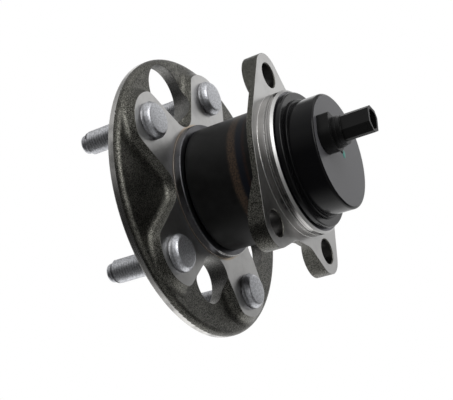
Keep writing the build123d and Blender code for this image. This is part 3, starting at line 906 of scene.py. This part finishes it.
@dataclass
class WheelStuds:
    """Five pressed-in studs with rolled threads, dog points and plain heads.

    A stud is built in millimetres about the Y axis, with the wheel's seat at height 0 and its
    point towards +Y, and is then carried to its hole.
    """

    circle_radius: float = 57.15
    count: int = 5
    first_angle: float = -3.0  # degrees from +Z
    twist: float = 1.7  # turn of a stud in its hole, in multiples of the angle of its place
    reach: float = 30.0
    thread_radius: float = 6.0
    thread_depth: float = 0.86
    thread_foot: float = -1.2
    pitch: float = 1.5
    crest_share: float = 0.10  # of the pitch
    root_share: float = 0.14  # of the pitch
    lead_turns: float = 2.0  # turns below the seat, before the thread is cut at its foot
    turn_steps: int = 36
    thread_merge: float = 0.002
    cut_merge: float = 1e-5  # how near a corner counts as lying on a cut
    root_shade_share: float = 0.38  # of the thread's depth, from its root, that gets the darker root finish as painted shade
    cone_length: float = 1.3
    point_radius: float = 4.8
    point_length: float = 2.4
    point_sink: float = 0.5
    point_edge: tuple[Pair, ...] = ((0.0, 0.75), (0.22, 0.22), (0.75, 0.0))  # (inwards, down)
    knurl_radius: float = 6.6
    knurl_end: float = -0.4
    pad_depth: float = 10.5
    head_radius: float = 9.5
    head_height: float = 4.6
    head_foot: float = 0.35
    head_edge: tuple[Pair, ...] = (  # (inwards, up from its end)
        (2.70, 0.01), (2.00, 0.05), (1.70, 0.14), (0.85, 1.104), (0.16, 2.20), (0.04, 2.36), (0.0, 2.55),
    )
    circle_steps: int = 64
    merge: float = 0.0005

    @property
    def thread_end(self) -> float:
        """Height at which the thread ends and the dog point stands out."""
        return self.reach - self.point_length

    def angles(self) -> list[float]:
        """Where the studs are around the spin axis, in radians from +Z."""
        return [math.radians(self.first_angle + index * 360 / self.count) for index in range(self.count)]

    def build(self) -> None:
        """Builds the five studs as one piece that stands for the plain CAD studs."""
        stud = bmesh.new()
        self.add_thread(stud)
        self.add_turned(stud, self.point_outline())
        self.add_turned(stud, self.head_outline())
        bmesh.ops.recalc_face_normals(stud, faces=stud.faces)
        template = bpy.data.meshes.new("stud_template")
        stud.to_mesh(template)
        stud.free()
        whole = bmesh.new()
        for angle in self.angles():
            place = self.place_of(angle)
            template.transform(place)
            whole.from_mesh(template)
            template.transform(place.inverted())
        bpy.data.meshes.remove(template)
        piece = new_piece("threaded_wheel_studs", whole, ZINC)
        self.paint_thread_highlight_and_shade(piece.data)
        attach(piece, "hub_body")
        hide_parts("wheel_studs")
        log.info("built %s", piece.name)

    def paint_thread_highlight_and_shade(self, mesh: bpy.types.Mesh) -> None:
        """Paints the thread with light crests and dark roots: painted highlight and painted shade.

        Args:
            mesh: The mesh of the five studs.
        """
        mesh.materials.append(THREAD_CREST_HIGHLIGHT.material())
        mesh.materials.append(THREAD_ROOT_SHADE.material())
        crest_highlight_slot, root_shade_slot = 1, 2
        ways = [(math.sin(angle), math.cos(angle)) for angle in self.angles()]
        centres = [(self.circle_radius * across, self.circle_radius * up) for across, up in ways]
        root_shade_radius = self.thread_radius - self.thread_depth * (1 - self.root_shade_share)
        # Faces near the thread's roots get the darker finish as painted shade, the others the lighter one
        # as painted highlight.
        for face in mesh.polygons:
            x, height, z = (part / MM for part in face.center)
            if 0 < height < self.thread_end:
                from_axis = min(math.hypot(x - across, z - up) for across, up in centres)
                face.material_index = root_shade_slot if from_axis < root_shade_radius else crest_highlight_slot

    def place_of(self, angle: float) -> Matrix:
        """Finds the place of a stud.

        Args:
            angle: Where the stud is around the spin axis, in radians.

        Returns:
            The matrix that carries a stud from the axis to its hole, and to metres.
        """
        shift = Vector((math.sin(angle), 0.0, math.cos(angle))) * self.circle_radius
        turn = Matrix.Rotation(angle * self.twist, 4, AXIS)
        return Matrix.Scale(MM, 4) @ Matrix.Translation(shift) @ turn

    def add_thread(self, stud: bmesh.types.BMesh) -> None:
        """Adds the helical thread, cut square at both ends, closed, and tapered at its end.

        Args:
            stud: The stud's mesh.
        """
        core = self.thread_radius - self.thread_depth
        crest, root = self.pitch * self.crest_share, self.pitch * self.root_share
        flank = (self.pitch - crest - root) / 2
        start = -self.lead_turns * self.pitch
        steps = [
            (core, 0.0), (core, root), (self.thread_radius, root + flank),
            (self.thread_radius, root + flank + crest), (core, self.pitch),
        ]
        profile = [stud.verts.new((radius, start + rise, 0.0)) for radius, rise in steps]
        edges = [stud.edges.new(pair) for pair in zip(profile, profile[1:])]
        turns = math.ceil((self.thread_end - start) / self.pitch) + 1
        bmesh.ops.spin(
            stud, geom=profile + edges, cent=(0, 0, 0), axis=AXIS,
            dvec=(0, self.pitch / self.turn_steps, 0), angle=math.tau * turns,
            steps=self.turn_steps * turns, use_merge=False,
        )
        bmesh.ops.remove_doubles(stud, verts=stud.verts, dist=self.thread_merge)
        for height, above in ((self.thread_end, True), (self.thread_foot, False)):
            cut = bmesh.ops.bisect_plane(
                stud, geom=stud.verts[:] + stud.edges[:] + stud.faces[:], dist=self.cut_merge,
                plane_co=(0, height, 0), plane_no=AXIS, clear_outer=above, clear_inner=not above,
            )
            rim = [item for item in cut["geom_cut"] if isinstance(item, bmesh.types.BMEdge)]
            bmesh.ops.holes_fill(stud, edges=rim, sides=0)
        self.taper(stud)

    def taper(self, stud: bmesh.types.BMesh) -> None:
        """Brings the end of the thread inside a cone.

        Args:
            stud: The stud's mesh.
        """
        start = self.thread_end - self.cone_length
        for vertex in stud.verts:
            share = (vertex.co.y - start) / self.cone_length
            limit = self.thread_radius + (self.point_radius - self.thread_radius) * share
            radius = math.hypot(vertex.co.x, vertex.co.z)
            if share > 0 and radius > limit:
                vertex.co.x *= limit / radius
                vertex.co.z *= limit / radius

    def point_outline(self) -> list[Pair]:
        """Half section of the dog point.

        Returns:
            Corners as (radius, height), from the axis to the axis.
        """
        start = self.thread_end - self.point_sink
        edge = [(self.point_radius - inwards, self.reach - down) for inwards, down in self.point_edge]
        return [(0.0, start), (self.point_radius, start), *edge, (0.0, self.reach)]

    def head_outline(self) -> list[Pair]:
        """Half section of the head and the shank.

        Returns:
            Corners as (radius, height), from the axis to the axis.
        """
        seat = -self.pad_depth
        end = seat - self.head_height
        wall = self.head_radius
        return [
            (0.0, end), *[(wall - inwards, end + up) for inwards, up in self.head_edge],
            (wall, seat - self.head_foot), (wall - self.head_foot, seat), (self.knurl_radius, seat),
            (self.knurl_radius, self.knurl_end), (0.0, self.knurl_end),
        ]

    def add_turned(self, stud: bmesh.types.BMesh, outline: Sequence[Pair]) -> None:
        """Adds a closed solid of revolution about the Y axis.

        Args:
            stud: The mesh that it is added to.
            outline: Half section as (radius, height), from the axis to the axis.
        """
        corners = [stud.verts.new((radius, height, 0.0)) for radius, height in outline]
        edges = [stud.edges.new(pair) for pair in zip(corners, corners[1:])]
        bmesh.ops.spin(
            stud, geom=corners + edges, cent=(0, 0, 0), axis=AXIS, dvec=(0, 0, 0),
            angle=math.tau, steps=self.circle_steps, use_merge=True,
        )
        bmesh.ops.remove_doubles(stud, verts=stud.verts, dist=self.merge)


@dataclass
class BearingInside:
    """Balls, cages, inner ring, seal and encoder, which the rings hide."""

    ball_count: int = 11

    def dress(self) -> None:
        """Finishes the pieces inside the rings."""
        for row in ("outboard", "inboard"):
            DressedNode(f"{row}_cage", CAGE_NATURAL).dress()
            for index in range(1, self.ball_count + 1):
                DressedNode(f"{row}_ball_{index:02d}", RACEWAY).dress()
        for node, finish in (
            ("inner_ring", RACEWAY), ("outboard_seal_case", SHEET_STEEL), ("outboard_seal_lip", RUBBER),
            ("encoder_carrier", SHEET_STEEL), ("encoder_ring", RUBBER),
        ):
            DressedNode(node, finish).dress()


@dataclass(frozen=True)
class Drop:
    """A flat drop on the cap's face, narrower at its top."""

    name: str
    finish: Finish
    place: Pair  # its middle as (x, z)
    size: Pair  # half its width and half its height
    rise: float
    narrowing: float = 0.35

    def build(self, face_depth: float) -> None:
        """Builds the drop.

        Args:
            face_depth: Depth of the cap's face.
        """
        drop = bmesh.new()
        bmesh.ops.create_uvsphere(drop, u_segments=32, v_segments=16, radius=1.0)
        bmesh.ops.bisect_plane(
            drop, geom=drop.verts[:] + drop.edges[:] + drop.faces[:], plane_co=(0, 0, 0),
            plane_no=AXIS, clear_outer=True,
        )
        for vertex in drop.verts:
            width = self.size[0] * (1.0 - self.narrowing * max(vertex.co.z, 0.0))
            vertex.co.x = (vertex.co.x * width + self.place[0]) * MM
            vertex.co.z = (vertex.co.z * self.size[1] + self.place[1]) * MM
            vertex.co.y = (vertex.co.y * self.rise - face_depth) * MM
        piece = new_piece(self.name, drop, self.finish)
        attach(piece, "outer_ring_body")
        log.info("built %s", self.name)


@dataclass
class EndCap:
    """Black sleeve and moulded cap over the car side of the bearing."""

    face_depth: float = 85.4
    drops: tuple[Drop, ...] = (
        Drop("paint_dab", TEAL, place=(4.3, 0.0), size=(1.5, 2.3), rise=0.30),
        # A black drop left of the paint dab, where the dab's shadow falls: painted shadow.
        Drop("dab_shadow_drop", SENSOR_BLACK, place=(1.6, 1.0), size=(1.9, 1.7), rise=0.45),
    )

    def on_face(self, at: Spot) -> bool:
        """Whether a face is on the cap's flat face."""
        return abs(at.depth - self.face_depth) < CLOSE and at.facing < -FLAT

    def dress(self) -> None:
        """Finishes the sleeve and the cap, and adds the dab of paint and a black drop beside it as painted
        shadow.
        """
        DressedNode("cap_sleeve", SLEEVE_BLACK).dress()
        DressedNode("end_cap", CAP_GLOSS, [Region(CAP_SATIN, self.on_face)]).dress()
        for drop in self.drops:
            drop.build(self.face_depth)


@dataclass
class SpeedSensor:
    """Sensor body with its connector, terminals, chip and seal ring."""

    def dress(self) -> None:
        """Finishes the sensor's pieces."""
        for node, finish in (
            ("sensor_housing", SENSOR_BLACK), ("sensor_chip", RUBBER), ("sensor_seal_ring", RUBBER),
            ("terminal_pin_upper", TINNED), ("terminal_pin_lower", TINNED),
        ):
            DressedNode(node, finish).dress()


class Way(Enum):
    """The camera's own directions, by which the studio is laid out."""

    RIGHT = 0
    UP = 1
    BACK = 2


@dataclass(frozen=True)
class Slope:
    """A change of brightness with a direction: low at its start, high at its end."""

    way: Way
    start: float
    end: float
    low: float = 0.0
    high: float = 1.0


@dataclass(frozen=True)
class Glow:
    """A bright field of the studio: its level, and the slopes that bound and shade it."""

    level: float
    slopes: tuple[Slope, ...]

    def brightness(self, board: NodeTree, facing: dict[Way, Socket]) -> Socket:
        """Adds the field's nodes.

        Args:
            board: The world's node tree.
            facing: Share of a direction along each of the camera's own.

        Returns:
            The brightness socket.
        """
        ramps = [
            board.ramp(facing[slope.way], slope.start, slope.end, slope.low, slope.high)
            for slope in self.slopes
        ]
        return board.chain("MULTIPLY", [*ramps, self.level])


BACKDROP = Glow(1.0, (
    Slope(Way.BACK, -0.15, -0.62), Slope(Way.UP, 0.64, 0.38), Slope(Way.RIGHT, 0.88, 0.76),
    Slope(Way.UP, 0.20, 0.40, low=0.84, high=1.22),
))
TABLE = Glow(0.9, (Slope(Way.UP, -0.40, -0.80), Slope(Way.BACK, 0.35, -0.20)))
CEILING = Glow(0.24, (Slope(Way.UP, 0.35, 0.62),))
SKYLIGHT = Glow(0.45, (Slope(Way.UP, 0.62, 0.92),))
SIDE_WALL = Glow(0.32, (Slope(Way.RIGHT, -0.50, -0.85), Slope(Way.UP, 0.0, 0.45)))
PANEL = Glow(1.0, (
    Slope(Way.RIGHT, 0.12, 0.42), Slope(Way.BACK, -0.62, -0.15), Slope(Way.UP, 0.0, 0.5, low=0.28),
    Slope(Way.RIGHT, 0.90, 0.60, low=0.12),
))


@dataclass
class Studio:
    """Camera, lamp, floor and world."""

    azimuth: float = -59.0966  # degrees, as are the next two
    elevation: float = -28.2069
    roll: float = -1.7222
    distance: float = 516.30
    lens: float = 77.0236
    sensor_width: float = 36.0
    shift_right: float = 16.565
    shift_up: float = -1.464
    nearest: float = 0.01  # metres, as are the next five
    floor_height: float = -0.45
    floor_size: float = 8.0
    key_place: tuple[float, float, float] = (0.45, 0.60, 0.45)
    key_aim: tuple[float, float, float] = (0.0, -0.03, 0.0)
    key_size: float = 0.5
    key_power: float = 2.0  # watts
    plain_level: float = 0.75
    plain_tilt: float = 0.15
    front_level: float = 0.05
    top_level: float = 1.25
    glows: tuple[Glow, ...] = (TABLE, BACKDROP, CEILING, SKYLIGHT, SIDE_WALL, PANEL)

    def axes(self) -> tuple[Vector, Vector, Vector]:
        """Finds the camera's own directions.

        Returns:
            Its right, up and back directions in the frame.
        """
        turn, rise, roll = (math.radians(angle) for angle in (self.azimuth, self.elevation, self.roll))
        back = Vector((math.sin(turn) * math.cos(rise), -math.cos(turn) * math.cos(rise), math.sin(rise)))
        right = Vector((math.cos(turn), math.sin(turn), 0.0))
        up = back.cross(right)
        return (
            right * math.cos(roll) + up * math.sin(roll),
            up * math.cos(roll) - right * math.sin(roll),
            back,
        )

    def point(self, right: float, up: float, back: float) -> Vector:
        """A place in metres, given by the camera's own directions from the frame's origin."""
        way_right, way_up, way_back = self.axes()
        return way_right * right + way_up * up + way_back * back

    def add_camera(self) -> None:
        """Places the camera."""
        camera = bpy.data.objects.new("camera", bpy.data.cameras.new("camera"))
        camera.data.lens = self.lens
        camera.data.sensor_width = self.sensor_width
        camera.data.sensor_fit = "HORIZONTAL"
        camera.data.clip_start = self.nearest
        turned = Matrix(self.axes()).transposed().to_4x4()
        place = self.point(self.shift_right * MM, self.shift_up * MM, self.distance * MM)
        camera.matrix_world = Matrix.Translation(place) @ turned
        bpy.context.scene.collection.objects.link(camera)
        bpy.context.scene.camera = camera

    def add_lamp(self) -> None:
        """Adds the key lamp, a square one."""
        lamp = bpy.data.lights.new("key", "AREA")
        lamp.shape = "SQUARE"
        lamp.size = self.key_size
        lamp.energy = self.key_power
        place = self.point(*self.key_place)
        holder = bpy.data.objects.new("key", lamp)
        holder.rotation_euler = (place - Vector(self.key_aim)).to_track_quat("Z", "Y").to_euler()
        holder.location = place
        bpy.context.scene.collection.objects.link(holder)

    def add_world(self) -> None:
        """Adds the world: white to the camera, plain to matt surfaces, a studio to shiny ones."""
        world = bpy.data.worlds.new("studio")
        bpy.context.scene.world = world
        world.use_nodes = True
        world.cycles.sampling_method = "NONE"
        board = NodeTree(world.node_tree)
        output = board.add("ShaderNodeOutputWorld")
        path = board.add("ShaderNodeLightPath").outputs
        direction = board.add("ShaderNodeTexCoord").outputs["Generated"]
        facing = {way: board.dot(direction, tuple(axis)) for way, axis in zip(Way, self.axes())}
        plain_level = board.math("MULTIPLY_ADD", facing[Way.UP], self.plain_tilt, self.plain_level)
        shiny, plain, white = (
            board.add("ShaderNodeBackground", Strength=level, Color=WHITE).outputs[0]
            for level in (self.studio_level(board, facing), plain_level, 1.0)
        )
        lighting = board.mix_shaders(path["Is Diffuse Ray"], shiny, plain)
        seen = board.math("MAXIMUM", path["Is Camera Ray"], path["Is Transmission Ray"])
        board.feed(output.inputs["Surface"], board.mix_shaders(seen, lighting, white))

    def studio_level(self, board: NodeTree, facing: dict[Way, Socket]) -> Socket:
        """Brightness of the studio by direction, as shiny surfaces show it.

        Args:
            board: The world's node tree.
            facing: Share of a direction along each of the camera's own.

        Returns:
            The brightness socket.
        """
        levels = [glow.brightness(board, facing) for glow in self.glows]
        return board.math("MINIMUM", board.chain("ADD", [*levels, self.front_level]), self.top_level)

    def add_floor(self) -> None:
        """Adds the pale floor, which takes the shadow and which shiny surfaces see past."""
        shape = bmesh.new()
        bmesh.ops.create_grid(
            shape, x_segments=1, y_segments=1, size=self.floor_size / 2,
            matrix=Matrix.Translation((0.0, 0.0, self.floor_height)),
        )
        floor = new_piece("floor", shape, FLOOR)

    def build(self) -> None:
        """Sets up the whole studio."""
        bpy.context.scene.view_settings.view_transform = "Standard"
        self.add_camera()
        self.add_world()
        self.add_floor()
        self.add_lamp()
        log.info("studio ready")


def main() -> None:
    """Builds the studio and the pieces in order."""
    logging.basicConfig(level=logging.INFO, format="%(name)s: %(message)s")
    Studio().build()
    HubFlange().dress()
    WheelStuds().build()
    OuterRing().dress()
    BearingInside().dress()
    EndCap().dress()
    SpeedSensor().dress()


if __name__ == "__main__":
    main()
